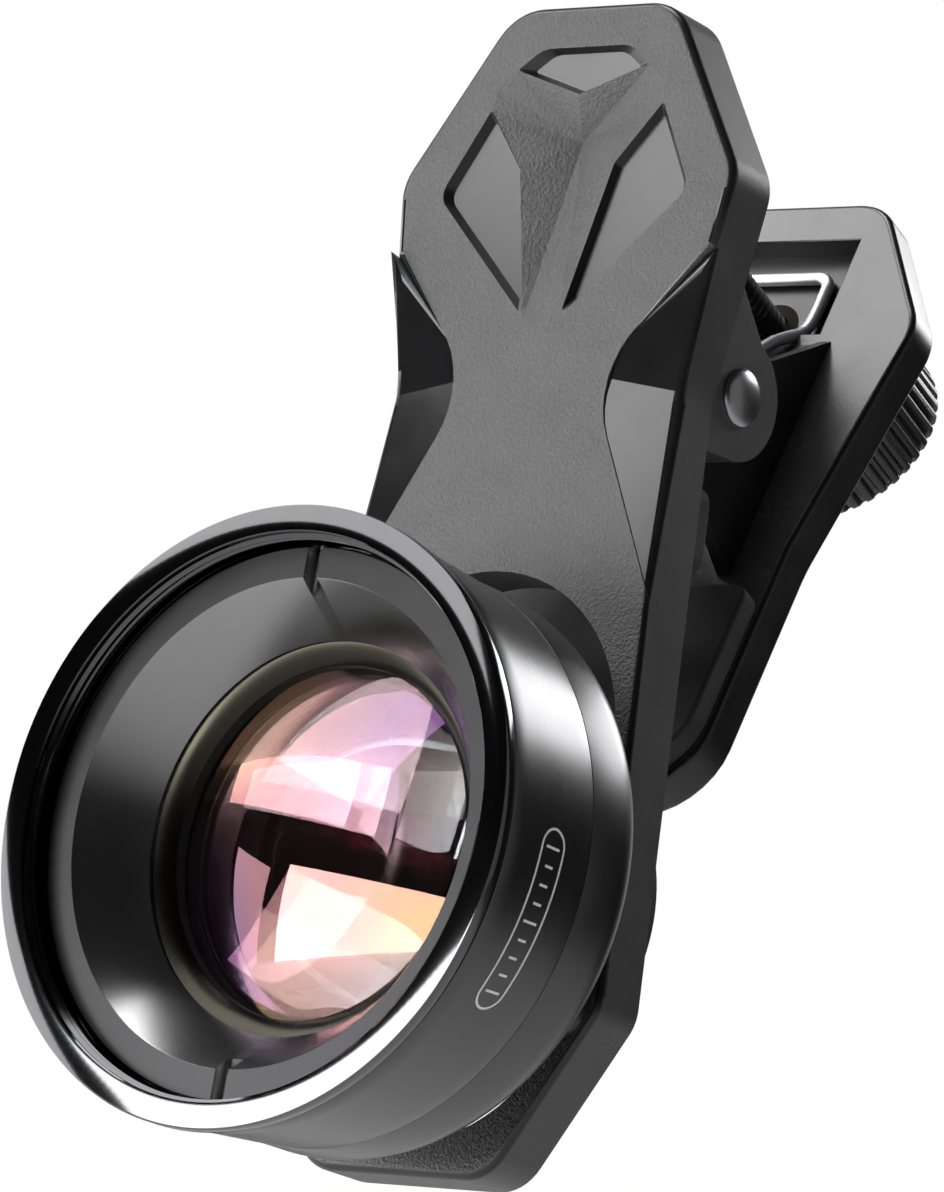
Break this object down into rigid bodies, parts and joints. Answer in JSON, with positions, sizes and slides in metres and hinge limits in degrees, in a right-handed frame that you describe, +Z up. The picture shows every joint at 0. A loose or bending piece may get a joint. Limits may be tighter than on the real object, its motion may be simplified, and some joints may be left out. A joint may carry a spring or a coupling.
{
  "type": "clip-on phone camera lens",
  "caption": "Close-up lens with a filter-thread rim, screwed into a sliding carriage on a spring clip with padded jaws and a knurled clamp screw, to fit over a phone camera.",
  "frame": {"origin": "on the optical axis, in the plane of the lens's front rim, at the mouth of the filter thread", "axes": "+Y runs back along the optical axis into the phone, +Z up the clip to its handles, +X to the right seen from in front"},
  "size_m": [0.04, 0.0585, 0.0802],
  "materials": {
    "black_anodised_ring": "gloss black anodised aluminium with a bright edge bevel",
    "dark_anodised_inner": "satin black anodised aluminium, finely turned",
    "black_anodised_barrel": "gloss black anodised aluminium",
    "satin_cell": "satin anodised aluminium, olive brown tint",
    "coated_glass_front": "polished optical glass with a pink and amber coating",
    "coated_glass_inner": "polished optical glass with a violet coating",
    "matt_black_stop": "matt black stop",
    "black_anodised_carriage": "satin black anodised aluminium",
    "black_rubber": "soft black rubber",
    "textured_grey_plastic": "leather-grain dark grey plastic with polished facets and pockets",
    "grey_plastic": "fine-grained dark grey plastic",
    "bright_steel": "bright steel",
    "brass_insert": "plain brass",
    "black_steel": "black oxide steel",
    "black_knob_plastic": "semi-gloss black plastic"
  },
  "bodies": {
    "clip": {"front_lever": "textured_grey_plastic", "lever_pad": "black_rubber", "pivot_rivet": "bright_steel", "torsion_spring": "bright_steel"},
    "jaw": {"rear_lever": "grey_plastic", "jaw_pad": "black_rubber", "screw_insert": "brass_insert", "knob_washer": "bright_steel"},
    "carriage": {"carriage_plate": "black_anodised_carriage", "carriage_bush": "black_anodised_carriage", "ring_pad": "black_rubber"},
    "optics": {"optical_cell": "satin_cell", "front_glass": "coated_glass_front", "spacer_ring": "dark_anodised_inner", "middle_glass": "coated_glass_inner", "aperture_stop": "matt_black_stop", "rear_glass": "coated_glass_inner", "rear_retaining_ring": "dark_anodised_inner"},
    "barrel": {"lens_barrel": "black_anodised_barrel", "front_ring": "black_anodised_ring", "retaining_ring": "dark_anodised_inner"},
    "screw": {"clamp_screw": "black_steel"},
    "knob_body": {"knob": "black_knob_plastic"}
  },
  "joints": [
    {"name": "jaw_hinge", "type": "hinge", "parent": "clip", "child": "jaw", "pos_m": [0, 0.0275, 0.035], "axis": [1, 0, 0], "range_deg": [0, 22], "stiffness_Nm_per_rad": 0.1, "springref_deg": -28.65, "deforming": ["torsion_spring"]},
    {"name": "carriage_slide", "type": "slide", "parent": "clip", "child": "carriage", "axis": [0, 0, 1], "range_m": [-0.0046, 0.0093]},
    {"name": "lens_feed", "type": "slide", "parent": "carriage", "child": "optics", "axis": [0, -1, 0], "range_m": [0, 0.0061]},
    {"name": "lens_turn", "type": "hinge", "parent": "optics", "child": "barrel", "pos_m": [0, 0, 0], "axis": [0, -1, 0], "range_deg": [0, 2880]},
    {"name": "screw_feed", "type": "slide", "parent": "jaw", "child": "screw", "axis": [0, 0.9348, -0.3551], "range_m": [0, 0.0061]},
    {"name": "knob_turn", "type": "hinge", "parent": "screw", "child": "knob_body", "pos_m": [0, 0.04818, 0.04383], "axis": [0, 0.9348, -0.3551], "range_deg": [0, 4320]}
  ],
  "couplings": [
    {"joint": "lens_feed", "follows": "lens_turn", "m_per_rad": 0.00011937},
    {"joint": "screw_feed", "follows": "knob_turn", "m_per_rad": 0.000079577}
  ]
}
